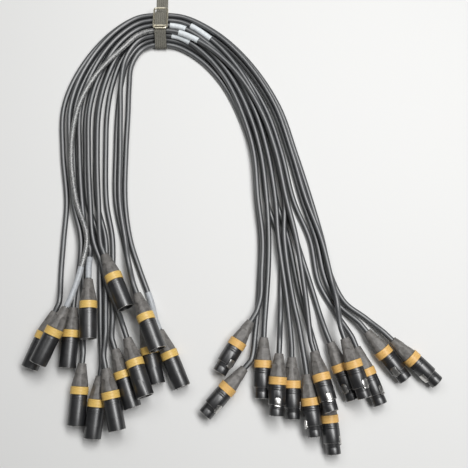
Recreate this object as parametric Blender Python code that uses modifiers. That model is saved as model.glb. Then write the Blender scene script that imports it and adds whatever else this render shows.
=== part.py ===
"""Thirteen XLR microphone cables, folded once, strapped at the fold and laid on a flat surface.

Every cable has a male connector at its left end and a female one at its right end. Cable 01
has each piece of its connectors as an object of its own. On the other cables the boot, the
colour ring, the housing and the contacts of a connector are one object, built from the same sizes.
"""

import math
from collections import namedtuple

import bmesh
import bpy
from mathutils import Matrix, Vector

# Clearances
TOUCH_GAP = 0.0003
LATCH_SIDE_GAP = 0.0003

# Cord
CORD_DIAMETER = 0.0061
CORD_BEND_PER_POINT = math.radians(14)

# Connector, outside. Lengths run from the cord end towards the open end.
BODY_DIAMETER = 0.0190
RING_PROUD = 0.0004
RING_LENGTH = 0.0083
BOOT_LENGTH = 0.0250
BOOT_MOUTH_DIAMETER = 0.0092
BOOT_END_STEP = 0.0004
COLLAR_DEPTH = 0.0004
COLLAR_LENGTH = 0.0016
MALE_BODY_LENGTH = 0.0335
FEMALE_BODY_LENGTH = 0.0212
NOSE_DIAMETER = 0.0158
NOSE_LENGTH = 0.0117
RIM_BEVEL = 0.0005

# Connector, inside
SPIGOT_STEP = 0.0015
SHELL_WALL = 0.0014
SOCKET_DEPTH = 0.0155
NOSE_WALL = 0.0012
INSERT_THICKNESS = 0.0075
PIN_DIAMETER = 0.0024
PIN_CIRCLE_RADIUS = 0.00396
PIN_RECESS = 0.0063
CONTACT_HOLE_DIAMETER = 0.0029
CONTACT_HOLE_DEPTH = 0.0060

# Latch of the female connector
LATCH_WIDTH = 0.0072
LATCH_LENGTH = 0.0104
LATCH_OVER_NOSE = 0.0025
LATCH_PROUD = 0.0002
LATCH_THICKNESS = 0.0015
LATCH_PIVOT_INSET = 0.0006
LATCH_PRESS_DEPTH = 0.0012

# Strap
STRAP_WIDTH = 0.0140
STRAP_THICKNESS = 0.0016
STRAP_TAIL = 0.0300
STRAP_Y = -0.0035
BUCKLE_WIRE_DIAMETER = 0.0022
BUCKLE_LENGTH = 0.0310
BUCKLE_OVERHANG = 0.0060
BUCKLE_CORNER_RADIUS = 0.0030

# Facets
SIDES = 10
FINE_SIDES = 12
SHARP_ANGLE = math.radians(38)
STRAP_ARC_STEP = 0.45

BOOT_COLOR = (0.10, 0.098, 0.092)
RING_COLOR = (0.75, 0.37, 0.08)
METAL_COLOR = (0.012, 0.012, 0.014)
INSERT_COLOR = (0.02, 0.02, 0.02)
CHROME_COLOR = (0.78, 0.77, 0.75)
CORD_COLOR = (0.028, 0.028, 0.030)
STRAP_COLOR = (0.16, 0.15, 0.085)
WIRE_COLOR = (0.62, 0.55, 0.38)

# Places that follow from the sizes
CORD_RADIUS = CORD_DIAMETER / 2
RING_DIAMETER = BODY_DIAMETER + 2 * RING_PROUD
BOOT_END_DIAMETER = BODY_DIAMETER - 2 * BOOT_END_STEP
SPIGOT_DIAMETER = BODY_DIAMETER - 2 * SPIGOT_STEP
RING_START = BOOT_LENGTH + TOUCH_GAP
BODY_START = RING_START + RING_LENGTH
MALE_LENGTH = BODY_START + MALE_BODY_LENGTH
SHOULDER = BODY_START + FEMALE_BODY_LENGTH
FEMALE_LENGTH = SHOULDER + NOSE_LENGTH
SOCKET_FLOOR = MALE_LENGTH - SOCKET_DEPTH
LATCH_END = SHOULDER + LATCH_OVER_NOSE
LATCH_START = LATCH_END - LATCH_LENGTH
LATCH_TOP = BODY_DIAMETER / 2 + LATCH_PROUD
LATCH_UNDERSIDE = LATCH_TOP - LATCH_THICKNESS
INSERT_SEAT = LATCH_END + LATCH_SIDE_GAP + NOSE_WALL
REST_Z = RING_DIAMETER / 2

# The cords lie in three layers, whose rows nest under the strap. The heights are those of their
# centre lines. TIE_PULL is the share of the strap's lift that is left at the first station.
NESTED_RISE = 0.86
TIE_PULL = 0.3
LAYER_STEP = CORD_DIAMETER + TOUCH_GAP
LOW_Z = CORD_RADIUS + TOUCH_GAP
LAYER_Z = {"low": LOW_Z, "upper": LOW_Z + LAYER_STEP, "top": LOW_Z + 2 * LAYER_STEP}
TIE_PITCH = CORD_DIAMETER + 0.0005
TIE_LOW_Z = STRAP_THICKNESS + TOUCH_GAP + CORD_RADIUS
TIE_RISE = NESTED_RISE * TIE_PITCH
TIE_Z = {"low": TIE_LOW_Z, "upper": TIE_LOW_Z + TIE_RISE, "top": TIE_LOW_Z + 2 * TIE_RISE}
TIE_HALF_LENGTH = 0.0085

# Outermost and innermost lane of each arm, from the strap down, seen from above
LEFT_STATIONS = [
    ((-0.031, 0.013), (-0.0244, -0.0300)),
    ((-0.0655, -0.0110), (-0.0356, -0.0495)),
    ((-0.0985, -0.056), (-0.0378, -0.079)),
    ((-0.1155, -0.104), (-0.038, -0.112)),
    ((-0.1140, -0.160), (-0.039, -0.160)),
    ((-0.1065, -0.222), (-0.038, -0.222)),
    ((-0.1042, -0.267), (-0.0321, -0.267)),
]
RIGHT_STATIONS = [
    ((0.031, 0.013), (0.0245, -0.0275)),
    ((0.0715, -0.0100), (0.051, -0.0450)),
    ((0.110, -0.049), (0.077, -0.0755)),
    ((0.143, -0.103), (0.0975, -0.117)),
    ((0.162, -0.161), (0.1115, -0.162)),
    ((0.179, -0.219), (0.116, -0.220)),
    ((0.1915, -0.267), (0.120, -0.267)),
]
SPREAD_BY_STATION = (0.0, 0.3, 0.6, 0.85, 1.0, 1.0)
STRAIGHT_RUN = 0.011
FLAT_RUN = 0.036

# The connectors' places were measured for this ring diameter. They spread from the middle of
# their fan with the diameter, so that neighbours keep their gaps.
MEASURED_RING_DIAMETER = 0.0198
SPREAD = RING_DIAMETER / MEASURED_RING_DIAMETER
LEFT_FAN = Vector((-0.050, -0.370))
RIGHT_FAN = Vector((0.170, -0.380))

# One end of a cable. x and y place the cord end of the connector, heading is the way it points,
# in degrees from -Y towards +X, and lifts holds how far its two ends lie above a plug on the
# surface. lane says where the cord lies across the arm, first at the stations before the last
# and then at the last one, from 0 outermost to 1 innermost. via holds points that it passes after
# them, where None stands for one straight behind the connector. roll turns the latch away from
# the top.
End = namedtuple("End", "x y heading lane via lifts roll", defaults=(None, (0.0, 0.0), 0))
Cable = namedtuple("Cable", "number layer slot left right")

# slot counts pitches from the middle of the strap towards the outer side
CABLES = [
    Cable(1, "top", -1.0,
          End(-0.0958, -0.3472, -24.7, (0.20, 0.36), [(-0.0835, -0.306, 0.020)],
              (0.0166, 0.0166)),
          End(0.1770, -0.3948, 14.3, (0.47, 0.44), [(0.1700, -0.3378)], (0.0101, 0.0186), 8)),
    Cable(2, "upper", 2.5,
          End(-0.0915, -0.3455, -3.1, (0.13, 0.245), [(-0.0872, -0.305)]),
          End(0.2098, -0.3808, 17.5, (0.10, 0.03), [(0.1990, -0.310), (0.2045, -0.340, 0.017)],
              (0.0163, 0.0163), 30)),
    Cable(3, "upper", 1.5,
          End(-0.0743, -0.3141, 2.2, (0.28, 0.335), None, (0.0068, 0.0088)),
          End(0.1688, -0.4192, 6.7, (0.50, 0.62), [(0.1560, -0.3371), (0.1620, -0.367)],
              (0.0066, 0.0066), -75)),
    Cable(4, "upper", 0.5,
          End(-0.0288, -0.3801, 20.1, (0.42, 0.44),
              [(-0.0620, -0.295), (-0.0550, -0.319), (-0.0410, -0.350)], (0.0081, 0.0141)),
          End(0.1533, -0.4008, -0.2, (0.66, 0.715), [(0.1490, -0.3371)], (0.0, 0.0), 80)),
    Cable(5, "upper", -0.5,
          End(-0.0573, -0.2865, 23.9, (0.56,), [], (0.0068, 0.0131)),
          End(0.1227, -0.3789, -2.5, (0.82, 0.87), [(0.1278, -0.310)], (0.0, 0.0), 60)),
    Cable(6, "upper", -1.5,
          End(-0.0186, -0.3314, 22.1, (0.92, 0.95), [(-0.0300, -0.296, 0.0145)],
              (0.0126, 0.0201)),
          End(0.1082, -0.3611, -32.0, (0.98, 0.97), [(0.1206, -0.308), (0.1195, -0.333)],
              (0.0, 0.0), 42)),
    Cable(7, "low", 3.0,
          End(-0.1118, -0.3504, -21.9, (0.0, -0.05), [(-0.1088, -0.308)]),
          End(0.2656, -0.3819, 45.7, (0.0, 0.0),
              [(0.2000, -0.308), (0.2150, -0.339), (0.2384, -0.3572)], (0.0, 0.0), -60)),
    Cable(8, "low", 2.0,
          End(-0.0788, -0.4073, -3.4, (0.17, 0.25), [(-0.0830, -0.325), (-0.0810, -0.368)]),
          End(0.2376, -0.3724, 37.8, (0.16, 0.10), [(0.1930, -0.311), (0.2062, -0.340)],
              (0.0, 0.0), -35)),
    Cable(9, "low", 1.0,
          End(-0.0584, -0.4210, -5.2, (0.36, 0.52), [(-0.0642, -0.310), (-0.0606, -0.377)]),
          End(0.2254, -0.3897, 21.2, (0.32, 0.20), [(0.1860, -0.316), (0.2040, -0.350)],
              (0.0, 0.0), 45)),
    Cable(10, "low", 0.0,
          End(-0.0507, -0.4131, 12.9, (0.52, 0.625), [(-0.0572, -0.317), (-0.0540, -0.370, 0.0105)],
              (0.0106, 0.0106)),
          End(0.1964, -0.3844, 21.0, (0.48, 0.42), [(0.1738, -0.309), (0.1838, -0.344)],
              (0.0, 0.0), -40)),
    Cable(11, "low", -1.0,
          End(-0.0430, -0.3918, 18.7, (0.68, 0.735), [(-0.0496, -0.320), (-0.0480, -0.356)]),
          End(0.1905, -0.4378, 5.5, (0.64, 0.55), [(0.1640, -0.330), (0.1780, -0.380)],
              (0.0, 0.0), 75)),
    Cable(12, "low", -2.0,
          End(-0.0120, -0.3649, 14.1, (0.84, 0.91), [(-0.0268, -0.315)]),
          End(0.1386, -0.3970, -3.5, (0.82, 0.70), [(0.1425, -0.325), (0.1412, -0.358, 0.011)],
              (0.0115, 0.0115), 5)),
    Cable(13, "low", -3.0,
          End(0.0062, -0.3713, 23.0, (1.0, 1.02), [(-0.0195, -0.300), (-0.0050, -0.338)]),
          End(0.1010, -0.4126, -41.0, (1.0, 1.0), [(0.1176, -0.325), (0.1140, -0.367)],
              (0.0, 0.0), 50)),
]
TOP_LEFT_LANES = (0.667, 0.62, 0.40, 0.27, 0.17)
TOP_RIGHT_LANES = (0.667, 0.62, 0.56, 0.51, 0.48)


def clear_scene():
    for obj in list(bpy.data.objects):
        bpy.data.objects.remove(obj, do_unlink=True)


def new_collection(name):
    collection = bpy.data.collections.new(name)
    bpy.context.scene.collection.children.link(collection)
    return collection


def new_material(name, color, roughness, metallic=0.0):
    material = bpy.data.materials.new(name)
    material.use_nodes = True
    surface = material.node_tree.nodes["Principled BSDF"]
    surface.inputs["Base Color"].default_value = (*color, 1.0)
    surface.inputs["Roughness"].default_value = roughness
    surface.inputs["Metallic"].default_value = metallic
    material.diffuse_color = (*color, 1.0)
    return material


def place(name, data, collection, material, matrix=Matrix()):
    obj = bpy.data.objects.new(name, data)
    obj.data.materials.clear()
    obj.data.materials.append(material)
    obj.matrix_world = matrix
    collection.objects.link(obj)
    return obj


# Shapes. A turned piece stands on its own Z axis, with its open end at the lowest Z.


def turned(profile, sides):
    """Object of a (radius, depth) profile turned about Z, with one corner of it on -Y."""
    mesh = bpy.data.meshes.new("turned")
    points = [(0.0, -radius, -depth) for radius, depth in profile]
    mesh.from_pydata(points, [(i, i + 1) for i in range(len(points) - 1)], [])
    obj = bpy.data.objects.new("turned", mesh)
    bpy.context.scene.collection.objects.link(obj)
    screw = obj.modifiers.new("turn", "SCREW")
    screw.steps = sides
    screw.render_steps = sides
    screw.use_merge_vertices = True
    screw.merge_threshold = 0.00001
    screw.use_smooth_shade = True
    return obj


def rods(radius, top_depth, end_depth, sides):
    """Object of three upright rods on the contact circle, from one depth to another."""
    builder = bmesh.new()
    middle = -(top_depth + end_depth) / 2
    for turn in (0, 120, 240):
        angle = math.radians(turn - 90)
        spot = Vector((math.cos(angle), math.sin(angle), 0)) * PIN_CIRCLE_RADIUS
        bmesh.ops.create_cone(
            builder, cap_ends=True, segments=sides, radius1=radius, radius2=radius,
            depth=end_depth - top_depth, matrix=Matrix.Translation(spot + Vector((0, 0, middle))))
    mesh = bpy.data.meshes.new("rods")
    builder.to_mesh(mesh)
    builder.free()
    return helper("rods", mesh)


def box(low, high):
    """Box helper between two corners."""
    builder = bmesh.new()
    size = [b - a for a, b in zip(low, high)]
    centre = [(a + b) / 2 for a, b in zip(low, high)]
    bmesh.ops.create_cube(builder, size=1.0)
    bmesh.ops.scale(builder, vec=size, verts=builder.verts)
    bmesh.ops.translate(builder, vec=centre, verts=builder.verts)
    mesh = bpy.data.meshes.new("box")
    builder.to_mesh(mesh)
    builder.free()
    return helper("box", mesh)


def helper(name, mesh):
    obj = bpy.data.objects.new(name, mesh)
    obj.display_type = "WIRE"
    obj.hide_render = True
    bpy.context.scene.collection.objects.link(obj)
    return obj


def combine(obj, other, operation):
    boolean = obj.modifiers.new(operation.lower(), "BOOLEAN")
    boolean.operation = operation
    boolean.object = other
    boolean.solver = "EXACT"


def baked(obj, name, helpers=()):
    """Mesh of the object with its modifiers applied. The object and its helpers are removed."""
    bpy.context.view_layer.update()
    evaluated = obj.evaluated_get(bpy.context.evaluated_depsgraph_get())
    mesh = bpy.data.meshes.new_from_object(evaluated)
    mesh.name = name
    mesh.shade_smooth()
    mesh.set_sharp_from_angle(angle=SHARP_ANGLE)
    for used in (obj, *helpers):
        bpy.data.objects.remove(used, do_unlink=True)
    return mesh


# Profiles, as (radius, depth) pairs from the cord end to the open end


def boot_curve(shares=((0, 0), (0.14, 0.12), (0.52, 0.48), (0.90, 0.82), (1, 1))):
    """Side of the boot: a short lip round the cord, then a flare that bulges a little."""
    mouth = BOOT_MOUTH_DIAMETER / 2
    flare = BOOT_END_DIAMETER / 2 - mouth
    return [(mouth + rise * flare, along * BOOT_LENGTH) for rise, along in shares]


def plain_rear():
    """Boot, ring and collar in few points, for the connectors that are one piece."""
    body, end = BODY_DIAMETER / 2, BODY_START + COLLAR_LENGTH
    return [(0.0, 0.0), *boot_curve(((0, 0), (0.62, 0.55), (1, 1))), *ring_curve(),
            (body - COLLAR_DEPTH, BODY_START), (body, end)]


def ring_curve():
    return [(RING_DIAMETER / 2, BOOT_LENGTH), (RING_DIAMETER / 2, BODY_START)]


def collar_curve():
    neck = BODY_DIAMETER / 2 - COLLAR_DEPTH
    return [(neck, BODY_START), (neck, BODY_START + COLLAR_LENGTH),
            (BODY_DIAMETER / 2, BODY_START + COLLAR_LENGTH + COLLAR_DEPTH)]


def male_rim_curve(floor):
    outer = BODY_DIAMETER / 2
    inner = outer - SHELL_WALL
    return [(outer, MALE_LENGTH - RIM_BEVEL), (outer - RIM_BEVEL, MALE_LENGTH),
            (inner, MALE_LENGTH), (inner, floor), (0.0, floor)]


def nose_curve():
    nose = NOSE_DIAMETER / 2
    return [(BODY_DIAMETER / 2, SHOULDER), (nose, SHOULDER),
            (nose, FEMALE_LENGTH - RIM_BEVEL), (nose - RIM_BEVEL, FEMALE_LENGTH)]


def male_connector_mesh():
    outer = BODY_DIAMETER / 2
    inner = outer - SHELL_WALL
    profile = [*plain_rear(), (outer, MALE_LENGTH), (inner, MALE_LENGTH),
               (inner, SOCKET_FLOOR), (0.0, SOCKET_FLOOR)]
    body = turned(profile, SIDES)
    pins = rods(PIN_DIAMETER / 2, SOCKET_FLOOR - SHELL_WALL, MALE_LENGTH - PIN_RECESS, 6)
    combine(body, pins, "UNION")
    return baked(body, "male_connector", [pins])


def female_connector_mesh():
    nose = NOSE_DIAMETER / 2
    profile = [*plain_rear(), (BODY_DIAMETER / 2, SHOULDER), (nose, SHOULDER),
               (nose, FEMALE_LENGTH), (0.0, FEMALE_LENGTH)]
    body = turned(profile, SIDES)
    holes = contact_holes()
    pocket = latch_pocket()
    combine(body, holes, "DIFFERENCE")
    combine(body, pocket, "DIFFERENCE")
    return baked(body, "female_connector", [holes, pocket])


def contact_holes():
    return rods(CONTACT_HOLE_DIAMETER / 2, FEMALE_LENGTH - CONTACT_HOLE_DEPTH,
                FEMALE_LENGTH + SHELL_WALL, 6)


def latch_pocket():
    """Cutter of the pocket that the latch sinks into when it is pressed."""
    half = LATCH_WIDTH / 2 + LATCH_SIDE_GAP
    floor = LATCH_UNDERSIDE - LATCH_PRESS_DEPTH - TOUCH_GAP
    return box((-half, floor, -(LATCH_END + LATCH_SIDE_GAP)),
               (half, BODY_DIAMETER, -(LATCH_START - LATCH_SIDE_GAP)))


def latch_mesh():
    """Thumb plate with a crowned top and a flat underside, cut from a turned piece."""
    plate = turned(
        [(0.0, LATCH_START), (LATCH_TOP, LATCH_START), (LATCH_TOP, LATCH_END - RIM_BEVEL),
         (LATCH_TOP - RIM_BEVEL, LATCH_END), (0.0, LATCH_END)], 2 * FINE_SIDES)
    slice_box = box((-LATCH_WIDTH / 2, LATCH_UNDERSIDE, -LATCH_END - RIM_BEVEL),
                    (LATCH_WIDTH / 2, BODY_DIAMETER, -LATCH_START + RIM_BEVEL))
    combine(plate, slice_box, "INTERSECT")
    mesh = baked(plate, "latch", [slice_box])
    mesh.transform(Matrix.Translation(-latch_pivot()))
    return mesh


def latch_pivot():
    """Middle of the latch's hinge axis, at its rear end, in the connector's own frame."""
    return Vector((0, LATCH_TOP - LATCH_THICKNESS / 2, -(LATCH_START + LATCH_PIVOT_INSET)))


# Cable 01, piece by piece


def boot_mesh():
    return baked(turned([(0.0, 0.0), *boot_curve(), (0.0, BOOT_LENGTH)], FINE_SIDES), "boot")


def ring_mesh():
    inner = SPIGOT_DIAMETER / 2 + TOUCH_GAP
    outer = RING_DIAMETER / 2
    start, end = RING_START, BODY_START - TOUCH_GAP
    profile = [(inner, start), (outer, start), (outer, end), (inner, end), (inner, start)]
    return baked(turned(profile, FINE_SIDES), "colour_ring")


def spigot_curve():
    """Rear of a housing: the spigot that the ring slides over and the boot screws on to."""
    return [(0.0, RING_START), (SPIGOT_DIAMETER / 2, RING_START), (SPIGOT_DIAMETER / 2, BODY_START)]


def male_housing_mesh():
    seat = SOCKET_FLOOR - INSERT_THICKNESS - TOUCH_GAP
    profile = [*spigot_curve(), *collar_curve(), *male_rim_curve(seat)]
    return baked(turned(profile, FINE_SIDES), "male_housing")


def male_insert_mesh():
    radius = BODY_DIAMETER / 2 - SHELL_WALL - TOUCH_GAP
    back = SOCKET_FLOOR - INSERT_THICKNESS
    disc = turned([(0.0, back), (radius, back), (radius, SOCKET_FLOOR), (0.0, SOCKET_FLOOR)],
                  FINE_SIDES)
    pins = rods(PIN_DIAMETER / 2, SOCKET_FLOOR - SHELL_WALL, MALE_LENGTH - PIN_RECESS, 8)
    combine(disc, pins, "UNION")
    return baked(disc, "male_insert", [pins])


def female_housing_mesh():
    bore = NOSE_DIAMETER / 2 - NOSE_WALL
    profile = [*spigot_curve(), *collar_curve(), *nose_curve(),
               (bore, FEMALE_LENGTH), (bore, INSERT_SEAT), (0.0, INSERT_SEAT)]
    housing = turned(profile, FINE_SIDES)
    pocket = latch_pocket()
    combine(housing, pocket, "DIFFERENCE")
    return baked(housing, "female_housing", [pocket])


def female_insert_mesh():
    radius = NOSE_DIAMETER / 2 - NOSE_WALL - TOUCH_GAP
    back = INSERT_SEAT + TOUCH_GAP
    disc = turned([(0.0, back), (radius, back), (radius, FEMALE_LENGTH), (0.0, FEMALE_LENGTH)],
                  FINE_SIDES)
    holes = contact_holes()
    combine(disc, holes, "DIFFERENCE")
    return baked(disc, "female_insert", [holes])


# Where the connectors and the cords lie


def fan_spot(x, y):
    """Measured point of a fan, spread with the ring's diameter."""
    fan = LEFT_FAN if x < 0.05 else RIGHT_FAN
    return fan + (Vector((x, y)) - fan) * SPREAD


def end_heights(end):
    """Heights of the connector's axis at its cord end and its open end."""
    return [REST_Z + lift * SPREAD for lift in end.lifts]


def pointing(end, length):
    """Unit vector from the cord end of the connector to its open end."""
    heading = math.radians(end.heading)
    rear, front = end_heights(end)
    tilt = math.asin((front - rear) / length)
    flat = math.cos(tilt)
    return Vector((math.sin(heading) * flat, -math.cos(heading) * flat, math.sin(tilt)))


def end_matrix(end, length):
    """Frame of a connector: its Z axis points back along the cord, and its Y axis to the latch."""
    ahead = pointing(end, length)
    up = (Vector((0, 0, 1)) - ahead * ahead.z).normalized()
    up.rotate(Matrix.Rotation(math.radians(end.roll), 3, -ahead))
    back = -ahead
    side = up.cross(back)
    rotation = Matrix((side, up, back)).transposed().to_4x4()
    return Matrix.Translation((*fan_spot(end.x, end.y), end_heights(end)[0])) @ rotation


def lanes_of(cable, end):
    if cable.layer == "top":
        spread = TOP_LEFT_LANES if end is cable.left else TOP_RIGHT_LANES
        return [*spread, *end.lane]
    slots = (len([c for c in CABLES if c.layer == "low"]) - 1) / 2
    start = (slots - cable.slot) / (2 * slots)
    spread = [start + (end.lane[0] - start) * share for share in SPREAD_BY_STATION]
    return [*spread, *end.lane[1:]]


def arm_points(cable, end, stations, length):
    """Points of one half of a cord, from the strap to its connector."""
    layer_z = LAYER_Z[cable.layer]
    points = []
    for (outer, inner), lane in zip(stations, lanes_of(cable, end)):
        spot = Vector(outer).lerp(Vector(inner), lane)
        points.append(Vector((spot.x, spot.y, layer_z)))
    points[0].z += TIE_PULL * (TIE_Z[cable.layer] - layer_z)
    tip = Vector((*fan_spot(end.x, end.y), end_heights(end)[0]))
    ahead = pointing(end, length)
    if end.via is None:
        flat = Vector((ahead.x, ahead.y, 0)).normalized()
        points.append(Vector((tip.x, tip.y, layer_z)) - flat * FLAT_RUN)
    else:
        for x, y, *height in end.via:
            points.append(Vector((*fan_spot(x, y), *(height or [layer_z]))))
    points.append(tip - ahead * STRAIGHT_RUN)
    points.append(tip - ahead * TOUCH_GAP)
    return points


def route_of(cable):
    """Points that a cord passes, from its male connector to its female one, and the index of
    the first of the two between which the strap holds it straight."""
    across = STRAP_Y + cable.slot * TIE_PITCH
    height = TIE_Z[cable.layer]
    tie = [Vector((side * TIE_HALF_LENGTH, across, height)) for side in (-1, 1)]
    left = arm_points(cable, cable.left, LEFT_STATIONS, MALE_LENGTH)
    right = arm_points(cable, cable.right, RIGHT_STATIONS, FEMALE_LENGTH)
    return [*reversed(left), *tie, *right], len(left)


def flat_distance(a, b):
    return (b - a).to_2d().length


def smooth_point(four, share):
    """Point of a centripetal Catmull-Rom curve between the middle two of four points."""
    knots = [0.0]
    for a, b in zip(four, four[1:]):
        knots.append(knots[-1] + math.sqrt(flat_distance(a, b)))
    at = knots[1] + (knots[2] - knots[1]) * share
    row = [point.to_2d() for point in four]
    for width in (1, 2, 3):
        row = [
            row[i].lerp(row[i + 1], (at - knots[lo]) / (knots[hi] - knots[lo]))
            for i, (lo, hi) in enumerate(blend_knots(width))
        ]
    ease = share * share * (3 - 2 * share)
    return Vector((row[0].x, row[0].y, four[1].z + (four[2].z - four[1].z) * ease))


def blend_knots(width):
    """Knot pairs of each round of blending: the last two rounds only use the middle knots."""
    return {1: ((0, 1), (1, 2), (2, 3)), 2: ((0, 2), (1, 3)), 3: ((1, 2),)}[width]


def smooth_route(points, held):
    """Points of a smooth cord: more of them where it bends, and none in its straight spans."""
    result = [points[0]]
    for first, four in enumerate(zip(points, points[1:], points[2:], points[3:])):
        bend = (four[1] - four[0]).to_2d().angle((four[3] - four[2]).to_2d())
        steps = max(1, min(4, math.ceil(bend / CORD_BEND_PER_POINT)))
        if first + 1 == held:
            steps = 1
        result += [smooth_point(four, step / steps) for step in range(steps)]
    return [*result, points[-2], points[-1]]


def cord_curve(name, points):
    curve = bpy.data.curves.new(name, "CURVE")
    curve.dimensions = "3D"
    curve.bevel_depth = CORD_RADIUS
    curve.bevel_resolution = 2
    curve.use_fill_caps = True
    spline = curve.splines.new("POLY")
    spline.points.add(len(points) - 1)
    for target, point in zip(spline.points, points):
        target.co = (*point, 1.0)
    return curve


# Strap


def arc(centre, radius, start, end, steps):
    angles = [start + (end - start) * step / steps for step in range(steps + 1)]
    return [(centre[0] + radius * math.cos(a), centre[1] + radius * math.sin(a)) for a in angles]


def bundle_corners():
    """Centres of the cords at the corners of the strapped bundle, as (y, z), counterclockwise."""
    low = [cable.slot for cable in CABLES if cable.layer == "low"]
    upper = [cable.slot for cable in CABLES if cable.layer == "upper"]
    top = [cable.slot for cable in CABLES if cable.layer == "top"]
    spots = [(min(low), "low"), (max(low), "low"), (max(upper), "upper"), (max(top), "top")]
    return [(STRAP_Y + slot * TIE_PITCH, TIE_Z[layer]) for slot, layer in spots]


def hull(radius, first_angle=None):
    """Outline round the bundle at a distance from the corner cords' centres. first_angle
    starts the arc at the second corner later, where the strap's tail leaves."""
    corners = bundle_corners()
    outline = []
    for i, corner in enumerate(corners):
        before, after = corners[i - 1], corners[(i + 1) % len(corners)]
        start = math.atan2(corner[1] - before[1], corner[0] - before[0]) - math.pi / 2
        end = math.atan2(after[1] - corner[1], after[0] - corner[0]) - math.pi / 2
        if i == 1 and first_angle is not None:
            start = first_angle
        while end < start:
            end += 2 * math.pi
        outline.append(arc(corner, radius, start, end, max(1, round((end - start) / STRAP_ARC_STEP))))
    return outline


def strap_curve():
    """The strap seen along the cords: a band round them, and a tail that lies on the surface."""
    inner_radius = CORD_RADIUS + TOUCH_GAP
    outer_radius = inner_radius + STRAP_THICKNESS
    corner = bundle_corners()[1]
    tail_top = math.asin((STRAP_THICKNESS - corner[1]) / outer_radius)
    arcs = hull(outer_radius, tail_top)
    tail_end = corner[0] + STRAP_TAIL
    tail = [(corner[0], 0.0), (tail_end, 0.0), (tail_end, STRAP_THICKNESS)]
    outer = [*arcs[0], *tail, *arcs[1], *arcs[2], *arcs[3]]
    inner = [point for part in hull(inner_radius) for point in part]
    curve = bpy.data.curves.new("strap", "CURVE")
    curve.dimensions = "2D"
    curve.fill_mode = "BOTH"
    curve.extrude = STRAP_WIDTH / 2
    for outline in (outer, inner):
        spline = curve.splines.new("POLY")
        spline.points.add(len(outline) - 1)
        spline.use_cyclic_u = True
        for target, (y, z) in zip(spline.points, outline):
            target.co = (y, z, 0.0, 1.0)
    return curve


def buckle_curve():
    """Rectangular wire loop with rounded corners, flat in its own XY plane."""
    wire = BUCKLE_WIRE_DIAMETER
    half_x = BUCKLE_LENGTH / 2
    half_y = STRAP_WIDTH / 2 + TOUCH_GAP + wire / 2
    curve = bpy.data.curves.new("strap_buckle", "CURVE")
    curve.dimensions = "3D"
    curve.bevel_depth = wire / 2
    curve.bevel_resolution = 1
    spline = curve.splines.new("POLY")
    spline.use_cyclic_u = True
    points = []
    for turn, (sx, sy) in enumerate(((1, 1), (-1, 1), (-1, -1), (1, -1))):
        corner = (sx * (half_x - BUCKLE_CORNER_RADIUS), sy * (half_y - BUCKLE_CORNER_RADIUS))
        start = turn * math.pi / 2
        points += arc(corner, BUCKLE_CORNER_RADIUS, start, start + math.pi / 2, 3)
    spline.points.add(len(points) - 1)
    for target, (x, y) in zip(spline.points, points):
        target.co = (x, y, 0.0, 1.0)
    return curve


def buckle_matrix():
    """The buckle lies on the strap's slope between the top cord and the outer upper cord."""
    outer, top = Vector(bundle_corners()[2]), Vector(bundle_corners()[3])
    along = (outer - top).normalized()
    normal = Vector((-along.y, along.x))
    lift = CORD_RADIUS + 2 * TOUCH_GAP + STRAP_THICKNESS + BUCKLE_WIRE_DIAMETER / 2
    middle = outer + along * (BUCKLE_OVERHANG - BUCKLE_LENGTH / 2) + normal * lift
    x_axis = Vector((0, along.x, along.y))
    y_axis = Vector((1, 0, 0))
    rotation = Matrix((x_axis, y_axis, x_axis.cross(y_axis))).transposed().to_4x4()
    return Matrix.Translation((0, middle.x, middle.y)) @ rotation


def build():
    clear_scene()
    parts = new_collection("xlr_cable_bundle")
    boot = new_material("boot_rubber", BOOT_COLOR, 0.62)
    colour = new_material("ring_plastic", RING_COLOR, 0.45)
    metal = new_material("black_metal", METAL_COLOR, 0.22, 0.9)
    plastic = new_material("insert_plastic", INSERT_COLOR, 0.5)
    chrome = new_material("latch_chrome", CHROME_COLOR, 0.18, 1.0)
    jacket = new_material("cord_jacket", CORD_COLOR, 0.42)
    webbing = new_material("strap_webbing", STRAP_COLOR, 0.85)
    wire = new_material("buckle_wire", WIRE_COLOR, 0.32, 0.8)

    male_mesh, female_mesh, plate_mesh = male_connector_mesh(), female_connector_mesh(), latch_mesh()
    split_left = (("male_boot", boot_mesh(), boot), ("male_ring", ring_mesh(), colour),
                  ("male_housing", male_housing_mesh(), metal),
                  ("male_insert", male_insert_mesh(), plastic))
    split_right = (("female_boot", boot_mesh(), boot), ("female_ring", ring_mesh(), colour),
                   ("female_housing", female_housing_mesh(), metal),
                   ("female_insert", female_insert_mesh(), plastic))

    for cable in CABLES:
        tag = f"{cable.number:02d}"
        left = end_matrix(cable.left, MALE_LENGTH)
        right = end_matrix(cable.right, FEMALE_LENGTH)
        if cable.number == 1:
            for pieces, matrix in ((split_left, left), (split_right, right)):
                for name, mesh, material in pieces:
                    place(f"{name}_{tag}", mesh, parts, material, matrix)
        else:
            place(f"male_connector_{tag}", male_mesh, parts, metal, left)
            place(f"female_connector_{tag}", female_mesh, parts, metal, right)
        place(f"latch_{tag}", plate_mesh, parts, chrome, right @ Matrix.Translation(latch_pivot()))
        route = smooth_route(*route_of(cable))
        length = sum((b - a).length for a, b in zip(route, route[1:]))
        print(f"cord_{tag}: {len(route)} points, {length:.3f} m")
        place(f"cord_{tag}", cord_curve(f"cord_{tag}", route), parts, jacket)

    standing = Matrix(((0, 0, 1, 0), (1, 0, 0, 0), (0, 1, 0, 0), (0, 0, 0, 1)))
    place("strap", strap_curve(), parts, webbing, standing)
    place("strap_buckle", buckle_curve(), parts, wire, buckle_matrix())


build()
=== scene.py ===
import math

import bpy
from mathutils import Matrix, Vector


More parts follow.
